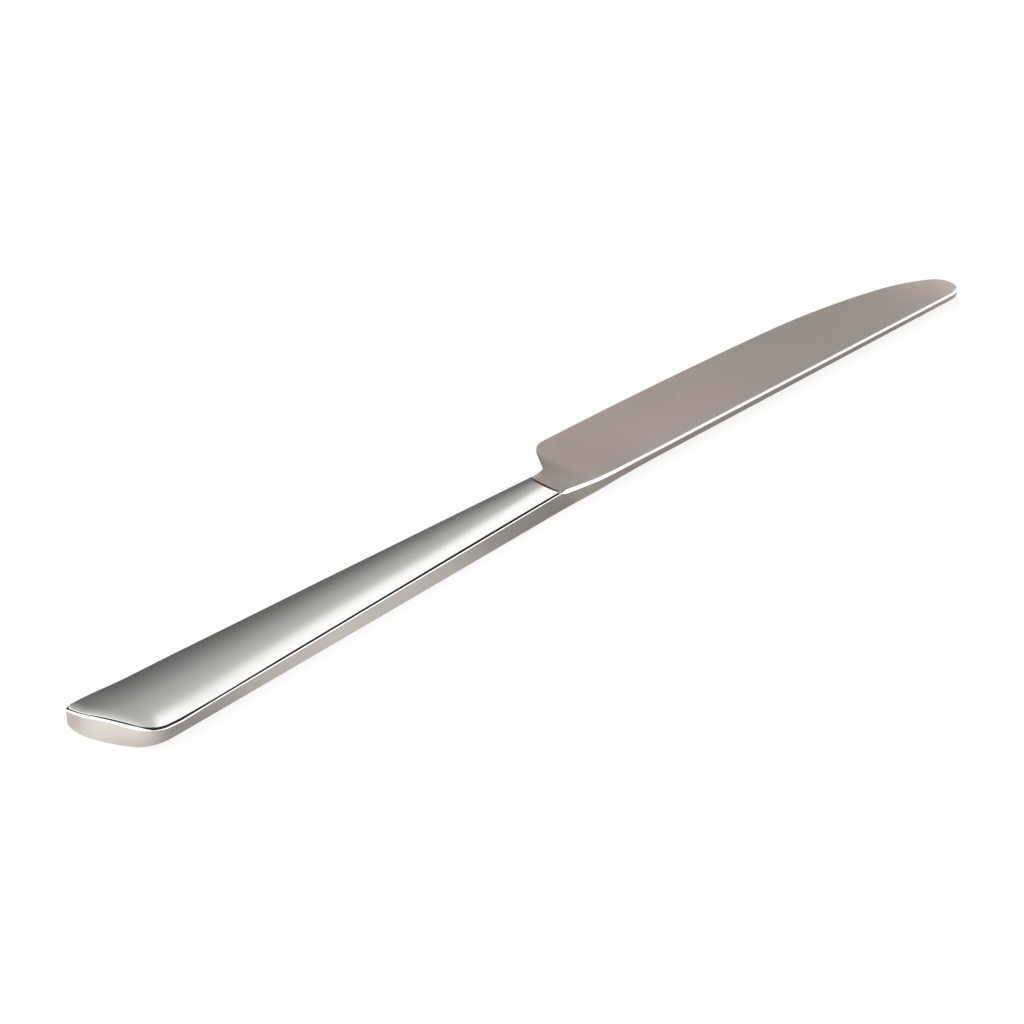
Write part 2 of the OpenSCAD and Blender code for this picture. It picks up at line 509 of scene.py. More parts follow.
def grey(level: float) -> float:
    """The linear value of a grey given on the 0 to 255 scale of a picture."""
    share = level / 255
    return share / 12.92 if share <= 0.04045 else ((share + 0.055) / 1.055) ** 2.4


@dataclass(frozen=True)
class Steel:
    """A steel finish.

    The grain runs along the knife. Its lines are as wide as grain_pitch, and as long as
    grain_length. The tone can be scaled along the knife by its gains of painted light and shade,
    at millimetres past the mouth of the handle. The ramp that holds them starts at gain_start and
    is as long as gain_reach.
    """

    name: str
    tone: Triple
    tone_spread: float = 0.03
    roughness: float = 0.3
    roughness_spread: float = 0.05
    grain_pitch: float = 0.07 * MM
    grain_length: float = 5 * MM
    grain_depth: float = 0.0005 * MM
    blotch: float = 22 * MM
    lines_share: float = 0.4
    painted_light_gains: Table = ()
    mouth: float = 52.65 * MM
    gain_start: float = 50 * MM
    gain_reach: float = 140 * MM

    def material(self) -> Material:
        """Makes the material of this finish.

        Returns:
            The material.
        """
        made = bpy.data.materials.new(self.name)
        graph = Graph(made)
        place = graph.node("TexCoord", output="Object")
        stretch = (1 / self.grain_length, 1 / self.grain_pitch, 1 / self.grain_pitch)
        lines_at = graph.node("Mapping", {"Vector": place, "Scale": stretch})
        lines = graph.node("TexNoise", {"Vector": lines_at, "Scale": 1.0, "Detail": 3.0})
        scale = 1 / self.blotch
        cloud = graph.node("TexNoise", {"Vector": place, "Scale": scale, "Detail": 2.0})
        share = lines * self.lines_share + cloud * (1 - self.lines_share)
        dark = tuple(c * (1 - self.tone_spread) for c in self.tone)
        light = tuple(c * (1 + self.tone_spread) for c in self.tone)
        colour = graph.ramp([(0.0, dark), (1.0, light)], share)
        # Painted light and shade: the tone is scaled along the knife by the gains.
        if self.painted_light_gains:
            parts = graph.node("SeparateXYZ", {0: place})
            start, reach = self.mouth - self.gain_start, self.gain_reach
            stops = [((start + x * MM) / reach, (painted_gain,) * 3) for x, painted_gain in self.painted_light_gains]
            painted_gain = graph.ramp(stops, (parts - self.gain_start) / reach)
            colour = graph.node("VectorMath", {0: colour, 1: painted_gain}, {"operation": "MULTIPLY"})
        rough = self.roughness + (share - 0.5) * (2 * self.roughness_spread)
        bump = {"Height": lines, "Strength": 1.0, "Distance": self.grain_depth}
        relief = graph.node("Bump", bump)
        look = {"Base Color": colour, "Metallic": 1.0, "Roughness": rough, "Normal": relief}
        surface = graph.node("BsdfPrincipled", look)
        graph.node("OutputMaterial", {"Surface": surface})
        return made


SATIN = Steel(
    "satin_steel",
    (0.63, 0.567, 0.502),
    grain_depth=0.0008 * MM,
    # Painted light and shade along the blade: lighter by the bolster and towards the tip, darker
    # along its middle.
    painted_light_gains=(
        (2, 1.12), (5, 1.28), (9, 1.24), (16, 1.05), (25, 0.98), (50, 0.97), (70, 0.91),
        (100, 0.91), (112, 0.95), (119, 1.08), (128, 1.4),
    ),
)
WALL = Steel("satin_wall", (0.655, 0.612, 0.563), tone_spread=0.02, roughness_spread=0.04)
POLISHED = Steel(
    "polished_steel",
    (0.63, 0.63, 0.625),
    tone_spread=0.01,
    roughness=0.06,
    roughness_spread=0.02,
    grain_pitch=0.12 * MM,
    grain_length=9 * MM,
    grain_depth=0.0001 * MM,
)
SEAM_BRAZE = Steel("seam_braze", (0.655, 0.61, 0.55), roughness=0.31, grain_length=3 * MM)
# The mouth line's dark braze; where the line swells in the middle, it is also painted shade of the
# step between the handle's crown and the bolster.
MOUTH_BRAZE_AND_SHADE = Steel(
    "mouth_braze",
    (0.12, 0.09, 0.07),
    tone_spread=0.25,
    roughness=0.55,
    roughness_spread=0.1,
    grain_pitch=0.06 * MM,
    grain_length=0.2 * MM,
    grain_depth=0.01 * MM,
)


@dataclass(frozen=True)
class Cement:
    """The hard grey-brown compound that the handle is filled with."""

    name: str = "setting_compound"
    dark: Triple = (0.21, 0.19, 0.16)
    light: Triple = (0.36, 0.33, 0.28)
    crumb: float = 0.35 * MM
    pit_depth: float = 0.08 * MM
    relief: float = 0.7
    cloud_scale: float = 0.2
    smoothest: float = 0.75
    roughness_spread: float = 0.2

    def material(self) -> Material:
        """Makes the material of this finish.

        Returns:
            The material.
        """
        made = bpy.data.materials.new(self.name)
        graph = Graph(made)
        place = graph.node("TexCoord", output="Object")
        pits = graph.node("TexVoronoi", {"Vector": place, "Scale": 1 / self.crumb})
        scale = self.cloud_scale / self.crumb
        cloud = graph.node("TexNoise", {"Vector": place, "Scale": scale, "Detail": 5.0})
        bump = {"Height": pits + cloud, "Strength": self.relief, "Distance": self.pit_depth}
        relief = graph.node("Bump", bump)
        colour = graph.ramp([(0.0, self.dark), (1.0, self.light)], cloud)
        rough = self.smoothest + cloud * self.roughness_spread
        look = {"Base Color": colour, "Roughness": rough, "Normal": relief}
        surface = graph.node("BsdfPrincipled", look)
        graph.node("OutputMaterial", {"Surface": surface})
        return made


@dataclass
class Handle:
    """The handle of two pressed shells, with the brazed line at its mouth.

    Lengths run back from the mouth of the handle, and heights start at the seam.
    """

    mouth_x: float
    seam_z: float
    length: float = 105.3 * MM
    neck: float = 8.2 * MM
    butt: float = 17 * MM
    thickness: float = 4.75 * MM
    crown_radius: float = 28.5 * MM
    square_butt: float = 4.15 * MM
    butt_rake: float = math.radians(25.5)
    far_corner: float = 1.8 * MM
    butt_bend: float = 12 * MM
    near_corner: float = 6 * MM
    wall: float = 0.7 * MM
    seam: float = 0.16 * MM
    mouth_joint: float = 0.25 * MM
    mouth_sink: float = 0.01 * MM
    # How far the dark faces of the mouth line swell over the bolster in the middle: painted shade
    # of the step there.
    painted_shade_swell: float = 0.45 * MM
    mouth_bow: float = 0.85 * MM
    bow_reach: float = 6 * MM
    flattening: Span = (93 * MM, 101 * MM)
    near_flatter: float = 0.8
    far_flatter: float = 0.3
    lower_flatter: float = 0.05
    roll: float = 0.15 * MM
    roll_width: float = 3.5 * MM
    roll_loss: float = 0.4
    roll_losing: Span = (5 * MM, 8 * MM)
    rim: Rounding = Rounding(0.36 * MM, 0.42 * MM, 1.25)
    rim_sizes: Table = (
        (-99, 0.9), (-95, 1.1), (-85, 0.7), (-70, 0.88), (-50, 0.86), (-30, 1.0), (-15, 1.0),
        (0, 0.92),
    )
    corner_rim: Rounding = Rounding(0.6 * MM, 0.32 * MM, 1.6)
    corner_ending: Span = (3 * MM, 6 * MM)
    butt_rim: Rounding = Rounding(0.7 * MM, 0.3 * MM, 1.6)
    butt_facing: Span = (0.3, 0.9)
    lower_rim: Rounding = Rounding(0.08 * MM, 0.08 * MM)
    inner_rim: Rounding = Rounding(0.2 * MM, 0.2 * MM)
    post_gap: float = 3 * MM
    butt_step: float = 0.5 * MM
    butt_reach: float = 9 * MM
    face_shares: tuple[float, ...] = (0.01, 0.08, 0.2, 0.36, 0.55, 0.78, 1)
    crease: float = 18.0
    polished_from: float = 0.1
    dark_from: float = 0.8

    def crown(self, place: Vector) -> float:
        """The height of the upper crowned face.

        The crown is a wide round across the handle. It flattens a little towards the butt, and
        rolls off over the last of it, a little less at the near corner.

        Args:
            place: The place in the plan.

        Returns:
            The height over the seam there.
        """
        flatter = self.near_flatter if place.y < 0 else self.far_flatter
        flatness = 1 + flatter * ease(*self.flattening, -place.x)
        slant = (place.x + self.length) * math.cos(self.butt_rake)
        slant += (place.y - self.butt / 2 + self.square_butt) * math.sin(self.butt_rake)
        inside = max(0.0, min(slant, place.x + self.length))
        near_edge = max(0.0, 1 - inside / self.roll_width)
        loss = self.roll_loss * ease(*self.roll_losing, -place.y)
        roll = self.roll * (1 - loss) * near_edge * near_edge
        return self.thickness / 2 - roll - place.y * place.y / (2 * self.crown_radius * flatness)

    def underside(self) -> "Handle":
        """This handle as its underside has it, hardly flatter at the butt and not rolled off."""
        return replace(self, near_flatter=self.lower_flatter, roll=0.0)

    def side_rim(self, place: Vector) -> Rounding:
        """The polished rim's rounding along the two sides, which varies a little."""
        return self.rim.scaled(between(self.rim_sizes, place.x / MM))

    def _corners(self) -> list[Vector]:
        """The sharp corners of the plan.

        Returns:
            The corners, anticlockwise from the near side of the mouth.
        """
        near_mouth = Vector((0, -self.neck / 2))
        far_butt = Vector((-self.length, self.butt / 2))
        bend = far_butt - Vector((0, self.square_butt))
        side = Vector((-self.length, (self.neck - self.butt) / 2))
        slant = Vector((math.sin(self.butt_rake), -math.cos(self.butt_rake)))
        near_butt = crossing(bend, slant, near_mouth, side)
        return [near_mouth, Vector((0, self.neck / 2)), far_butt, bend, near_butt]

    def _posts(self) -> list[Post]:
        """The posts round the rim of the shells.

        Returns:
            The posts, from the near side of the mouth round the butt to the far side.
        """
        outline = Outline(
            self._corners(), [0, 0, self.far_corner, self.butt_bend, self.near_corner]
        )
        near = outline.run([0, 4])
        far = outline.run([1, 2, 3])
        last = self.length - self.butt_reach
        count = round(last / self.post_gap)
        stops = [mix(-self.mouth_joint, -last, k / count) for k in range(count + 1)]
        return posts(near, far, stops, self.butt_step)

    def _row(self, post: Post, skin: float, rim: Rounding) -> list[Vector]:
        """The places from the rim up the wall and over the face to the middle.

        Args:
            post: The place on the plan's rim.
            skin: How far under the outer surface the row lies.
            rim: The rounding between wall and face.

        Returns:
            The places, in the knife's own frame.
        """
        start = post.rim + post.inward * skin
        row = [self.lift(start, self.seam / 2)]
        for inset, drop in rim.cuts():
            place = start + post.inward * inset
            row.append(self.lift(place, self.crown(place) - skin - drop))
        last = start + post.inward * rim.width
        for share in self.face_shares:
            place = last.lerp(post.middle, share)
            row.append(self.lift(place, self.crown(place) - skin))
        return row

    def lift(self, place: Vector, height: float) -> Vector:
        """A place at a height over the seam, in the knife's own frame, bowed back at the mouth."""
        bow = self.bow(place.y) * ease(self.bow_reach, self.mouth_joint, abs(place.x))
        return Vector((self.mouth_x + place.x - bow, place.y, self.seam_z + height))

    def bow(self, across: float) -> float:
        """How far the joint at the mouth lies back, at a place across it."""
        return self.mouth_bow * max(0.0, 1 - (2 * across / self.neck) ** 2)

    def shell(self, side: Side, finishes: dict[str, Material]) -> Piece:
        """One pressed shell, with its wall's real thickness.

        Args:
            side: Which of the two shells.
            finishes: The materials, by name.

        Returns:
            The shell.
        """
        columns = []
        for post in self._posts():
            corner = ease(*self.corner_ending, -post.rim.y)
            end = self.butt_rim.blend(self.corner_rim, corner)
            rim = self.side_rim(post.rim).blend(end, ease(*self.butt_facing, post.inward.x))
            outer = self._row(post, 0, rim if side is Side.UPPER else self.lower_rim)
            inner = self._row(post, self.wall, self.inner_rim)
            columns.append(inner[::-1] + outer)
        rows = [list(row) for row in zip(*columns)]
        piece = wrap(f"{side.name.lower()}_half_shell", rows)
        if side is Side.LOWER:
            bpy.ops.mesh.select_all(action="SELECT")
            bpy.ops.transform.resize(value=(1, 1, -1), center_override=(0, 0, self.seam_z))
        finish_mesh(piece, self.crease)
        piece.data.materials.append(finishes["polished"])
        piece.data.materials.append(finishes["satin"])
        for face in piece.data.polygons:
            outside = face.normal.z * side.value > self.polished_from
            face.material_index = 0 if outside else 1
        return piece

    def mouth_line(self, dark: Material, plain: Material) -> Piece:
        """The thin brazed line between the shells and the bolster.

        It is a dark braze on the two faces, and is ground flush and satin on the walls. On the
        faces it swells towards the middle, over the bolster, as painted shade of the step where
        the handle's crown stands above the bolster.

        Args:
            dark: The finish on the faces, a dark braze that is also painted shade where it swells.
            plain: The finish on the walls.

        Returns:
            The line.
        """
        first = self._posts()[0]
        upper, lower = (
            [Vector((p.y, p.z - self.seam_z)) for p in self._row(first, 0, rim)[1:]]
            for rim in (self.side_rim(first.rim), self.lower_rim)
        )
        section = upper + [Vector((-p.x, p.y)) for p in upper[::-1][1:]]
        section += [Vector((-p.x, -p.y)) for p in lower]
        section += [Vector((p.x, -p.y)) for p in lower[::-1][1:]]
        deselect()
        bpy.ops.mesh.primitive_circle_add(vertices=len(section), radius=1 * MM, location=(0, 0, 0))
        piece = bpy.context.active_object
        piece.name = piece.data.name = "mouth_line"
        for vertex, place in zip(piece.data.vertices, section):
            height = place.y - math.copysign(self.mouth_sink, place.y)
            vertex.co = (self.mouth_x, place.x, self.seam_z + height)
        swell = [1 - (2 * place.x / self.neck) ** 2 for place in section]
        inner = self.wall + self.mouth_sink
        centre = (self.mouth_x, 0, self.seam_z)
        shrink = (1, 1 - 2 * inner / self.neck, 1 - 2 * inner / self.thickness)
        back = (-self.mouth_joint, 0, 0)
        bpy.ops.object.mode_set(mode="EDIT")
        bpy.ops.mesh.select_all(action="SELECT")
        bpy.ops.mesh.extrude_edges_move(TRANSFORM_OT_translate={"value": (0, 0, 0)})
        bpy.ops.transform.resize(value=shrink, center_override=centre)
        bpy.ops.mesh.select_all(action="SELECT")
        bpy.ops.mesh.extrude_region_move(TRANSFORM_OT_translate={"value": back})
        bpy.ops.object.mode_set(mode="OBJECT")
        # Painted shade: the dark faces swell over the bolster towards the middle.
        for vertex, share in zip(piece.data.vertices, swell):
            vertex.co.x += self.painted_shade_swell * share
        for vertex in piece.data.vertices:
            vertex.co.x -= self.bow(vertex.co.y)
        finish_mesh(piece)
        piece.data.materials.append(dark)
        piece.data.materials.append(plain)
        for face in piece.data.polygons:
            face.material_index = 0 if abs(face.normal.z) > self.dark_from else 1
        return piece


@dataclass
class Blade:
    """The forged blade with its bolster, the plug that fills the mouth, and the tang."""

    handle: Handle
    length: float = 128.1 * MM
    edge_y: float = 13.95 * MM
    spine_y: float = 4.8 * MM
    spine_flare: float = 1.52 * MM
    spine: float = 1.7 * MM
    tip: float = 1.15 * MM
    edge: float = 0.2 * MM
    ramp: float = 28 * MM
    flare: float = 9 * MM
    hollow: float = 8 * MM
    hollow_x: float = 5.3 * MM
    neck_open: float = 0.045
    heel_rake: float = math.radians(58)
    heel: float = 4.5 * MM
    belly: tuple[Triple, ...] = (
        (1.0162, -0.0452, 0.0355),
        (0.9309, 0.4268, 0.3186),
        (0.76, 0.82, 1.467),
        (0.365, 1, 10),
    )
    tip_corner: float = 0.9763
    tip_round: float = 0.0426
    flare_round: float = 0.5
    steep_angle: float = math.radians(67)
    steep_start: float = 0.75 * MM
    steep_peak: float = 0.66 * MM
    shoulder_angle: float = math.radians(28)
    shoulder: float = 0.6 * MM
    shoulder_change: Span = (9.5 * MM, 22 * MM)
    spine_facing: Span = (0.2, 0.9)
    plain: Rounding = Rounding(0.03 * MM, 0.03 * MM)
    most_drop: float = 0.6
    mouth_fade: float = 4 * MM
    near_mouth_fade: float = 1.6 * MM
    crown_fade: float = 0.5 * MM
    thinning: Span = (0.5 * MM, 9.5 * MM)
    least_height: float = 0.02 * MM
    tip_reach: float = 7.5 * MM
    tip_step: float = 0.35 * MM
    runs: tuple[tuple[float, int], ...] = ((3 * MM, 8), (15 * MM, 48), (32 * MM, 22))
    last_run: int = 48
    face_shares: tuple[float, ...] = (0.008, 0.06, 0.16, 0.3, 0.46, 0.64, 0.82, 1)
    crease: float = 20.0
    bright_slope: Span = (0.25, 0.95)
    bright_facing: float = -0.2
    fit_gap: float = 0.05 * MM
    plug: float = 4 * MM
    tang: float = 81 * MM
    tang_root: float = 5.6 * MM
    tang_end: float = 7.4 * MM
    tang_thickness: float = 2.2 * MM

    def _outline(self) -> Outline:
        """The plan of the blade.

        Returns:
            The plan, anticlockwise from the near side of the mouth.
        """
        half_neck = self.handle.neck / 2
        hollow = Vector((self.hollow_x, half_neck + self.neck_open * self.handle.neck))
        rise = self.edge_y - hollow.y
        corners = [
            Vector((0, -half_neck)),
            Vector((self.flare, -self.spine_y)),
            Vector((self.tip_corner * self.length, -self.spine_y - self.spine_flare)),
            *(Vector((x * self.length, y * self.edge_y)) for x, y, _ in self.belly),
            hollow + Vector((rise / math.tan(self.heel_rake), rise)),
            hollow,
            Vector((0, half_neck)),
        ]
        radii = [0, self.flare_round * self.length, self.tip_round * self.length]
        radii += [r * self.length for _, _, r in self.belly]
        return Outline(corners, radii + [self.heel, self.hollow, 0])

    def ground(self, place: Vector) -> float:
        """Half the thickness of the ground blade.

        Args:
            place: The place in the plan.

        Returns:
            The half of the thickness there. Nowhere in the plan is it less than at the edge.
        """
        taper = (self.spine - self.tip) / 2
        slope = min(
            (self.spine / 2 - taper * x - self.edge / 2) / (y * self.edge_y + self.spine_y)
            for x, y, _ in self.belly
        )
        return self.spine / 2 - taper * place.x / self.length - slope * (place.y + self.spine_y)

    def face(self, place: Vector) -> float:
        """The height of the upper face.

        The bolster sweeps down to the ground blade, and thins out towards the cutting edge. It
        leaves the handle with the handle's own crown, and goes flat within crown_fade.

        Args:
            place: The place in the plan.

        Returns:
            The height over the seam there.
        """
        handle = self.handle
        edge = handle.crown(Vector((0, handle.neck / 2)))
        left = max(0.0, 1 - place.x / self.ramp)
        across = (place.y + self.spine_y) / (self.edge_y + self.spine_y)
        thin = 1 - across * ease(*self.thinning, place.x)
        start = edge - self.ground(Vector((0, place.y)))
        flat = self.ground(place) + start * left * left * thin
        crowned = handle.crown(Vector((0, place.y)))
        return mix(crowned, flat, ease(0, self.crown_fade, place.x))

    def _shoulder(self, x: float) -> list[Span]:
        """The shoulder of the spine at a place along it.

        It is steep beside the handle, and gives way further on to a wide and shallow one.

        Args:
            x: The place along the blade.

        Returns:
            How far each of its points lies inwards and down, from the wall to the face.
        """
        share = ease(*self.shoulder_change, x)
        steep = mix(self.steep_start, self.steep_peak, ease(0, self.flare, x)) * (1 - share)
        shallow = self.shoulder * share
        lower = Vector((math.cos(self.steep_angle), math.sin(self.steep_angle))) * steep
        upper = Vector((math.cos(self.shoulder_angle), math.sin(self.shoulder_angle))) * shallow
        cuts = []
        steps = self.handle.rim.steps
        for k in range(steps + 1):
            low, high = min(1.0, 2 * k / steps), max(0.0, 2 * k / steps - 1)
            inset = lower.x * low + upper.x * high
            cuts.append((inset, lower.y * (1 - low) + upper.y * (1 - high)))
        return cuts

    def cuts(self, post: Post, side: Side) -> list[Span]:
        """The rounding at a place on the rim.

        Args:
            post: The place on the rim.
            side: The upper or the lower rim.

        Returns:
            How far each of its points lies inwards and down, from the wall to the face.
        """
        x, upper = post.rim.x, side is Side.UPPER
        handle = self.handle
        mouth = (handle.side_rim(Vector((0, 0))) if upper else handle.lower_rim).cuts()
        plain = self.plain.cuts()
        spine = self._shoulder(x) if upper else plain
        room = self.most_drop * self.face(post.rim)
        cuts = []
        for start, flat, bevel in zip(mouth, plain, spine):
            away = Vector(start).lerp(Vector(flat), ease(0, self.mouth_fade, x))
            near = Vector(start).lerp(Vector(bevel), ease(0, self.near_mouth_fade, x))
            inset, drop = away.lerp(near, ease(*self.spine_facing, post.inward.y))
            cuts.append((inset, min(drop, room)))
        return cuts

    def _row(self, post: Post, side: Side) -> list[Vector]:
        """The places up the wall and over the face to the middle.

        Args:
            post: The place on the plan's rim.
            side: The upper or the lower half, which is drawn above the seam too.

        Returns:
            The places, in the knife's own frame.
        """
        cuts = self.cuts(post, side)
        row = []
        for inset, drop in cuts:
            place = post.rim + post.inward * inset
            height = max(self.least_height, self.face(place) - drop)
            row.append(self.handle.lift(place, height))
        last = post.rim + post.inward * cuts[-1][0]
        for share in self.face_shares:
            place = last.lerp(post.middle, share)
            row.append(self.handle.lift(place, self.face(place)))
        return row

    def build(self, satin: Material, bright: Material) -> Piece:
        """The whole blade, in one piece with its bolster, plug and tang.

        Args:
            satin: The finish of the faces and walls.
            bright: The finish of the shoulders along the spine.

        Returns:
            The blade.
        """
        outline = self._outline()
        near, far = outline.run([0, 1, 2]), outline.run([9, 8, 7, 6, 5, 4, 3])
        stops, start = [0.0], 0.0
        for end, count in (*self.runs, (self.length - self.tip_reach, self.last_run)):
            stops += [mix(start, end, (k + 1) / count) for k in range(count)]
            start = end
        seam_z, handle_x = self.handle.seam_z, self.handle.mouth_x
        columns = []
        for post in posts(near, far, stops, self.tip_step):
            lower = [Vector((p.x, p.y, 2 * seam_z - p.z)) for p in self._row(post, Side.LOWER)]
            columns.append(lower[::-1] + self._row(post, Side.UPPER))
        piece = wrap("table_blade", [list(row) for row in zip(*columns)])
        self._draw_tang()
        finish_mesh(piece, self.crease)
        piece.data.materials.append(satin)
        piece.data.materials.append(bright)
        steep, level = self.bright_slope
        for face in piece.data.polygons:
            sloping = steep < abs(face.normal.z) < level
            on_spine = face.normal.y < self.bright_facing and face.center.x > handle_x
            face.material_index = 1 if sloping and on_spine else 0
        return piece

    def _draw_tang(self) -> None:
        """Draws the plug and then the tang out of the selected face at the mouth."""
        handle = self.handle
        inner = handle.wall + self.fit_gap
        plug_y, plug_z = handle.neck / 2 - inner, handle.thickness / 2 - inner
        steps = [
            (0, plug_y / (handle.neck / 2), plug_z / (handle.thickness / 2)),
            (self.plug, 1, 1),
            (0, self.tang_root / 2 / plug_y, self.tang_thickness / 2 / plug_z),
            (self.tang - self.plug, self.tang_end / self.tang_root, 1),
        ]
        x = handle.mouth_x
        for reach, across, upright in steps:
            x -= reach
            bpy.ops.mesh.extrude_region_move(TRANSFORM_OT_translate={"value": (-reach, 0, 0)})
            bpy.ops.transform.resize(
                value=(1, across, upright), center_override=(x, 0, handle.seam_z)
            )


@dataclass(frozen=True)
class Step:
    """A smooth rise from 0 at low to a height at high, over some signal."""

    low: float
    high: float
    height: float = 1.0

    def over(self, value: Signal) -> Signal:
        """The rise over a signal."""
        return value.rise(self.low, self.high) * self.height

    def after(self, value: Signal) -> Signal:
        """What the rise leaves of 1, over a signal."""
        return 1 - self.over(value)


@dataclass(frozen=True)
class Card:
    """A dark card in the sky, whose reflection is the black line along the handle's rim.

    It is a part of a ring round a middle, in the x and y of the light's direction. The ring's
    width depends on the lean, the cosine of the angle round its middle.
    """

    middle: Span = (0.6, 0.75)
    start: float = 0.42
    late_start: Step = Step(0.8, 0.98, 0.14)
    start_edge: Step = Step(-0.02, 0.02)
    end: float = 0.66
    more_end: Step = Step(0.25, 0.5, 0.19)
    most_end: Step = Step(0.62, 0.95, 1.18)
    end_edge: Step = Step(-0.03, 0.03)
    beside: Step = Step(0.612, 0.62)
    beside_top: Step = Step(104, 109)
    front: Step = Step(156, 164)
    tip: Step = Step(0.68, 0.69)
    darkness: float = 0.98

    def shade(self, x: Signal, y: Signal, angle: Signal) -> Signal:
        """The share of the light that the card holds back.

        Args:
            x: The direction's part along the knife.
            y: The direction's part across the knife.
            angle: The direction's angle round the knife's length, in degrees.

        Returns:
            The share.
        """
        across, along = x - self.middle[0], self.middle[1] - y
        away = (across * across + along * along).root()
        lean = along / away
        start = self.start + self.late_start.over(lean)
        end = self.end + self.more_end.over(lean) + self.most_end.over(lean)
        ring = self.start_edge.over(away - start) * self.end_edge.after(away - end)
        beside = self.beside.over(x) * self.beside_top.after(angle)
        ring = ring * self.front.after(angle) * (1 - beside) * self.tip.after(x)
        return ring * self.darkness


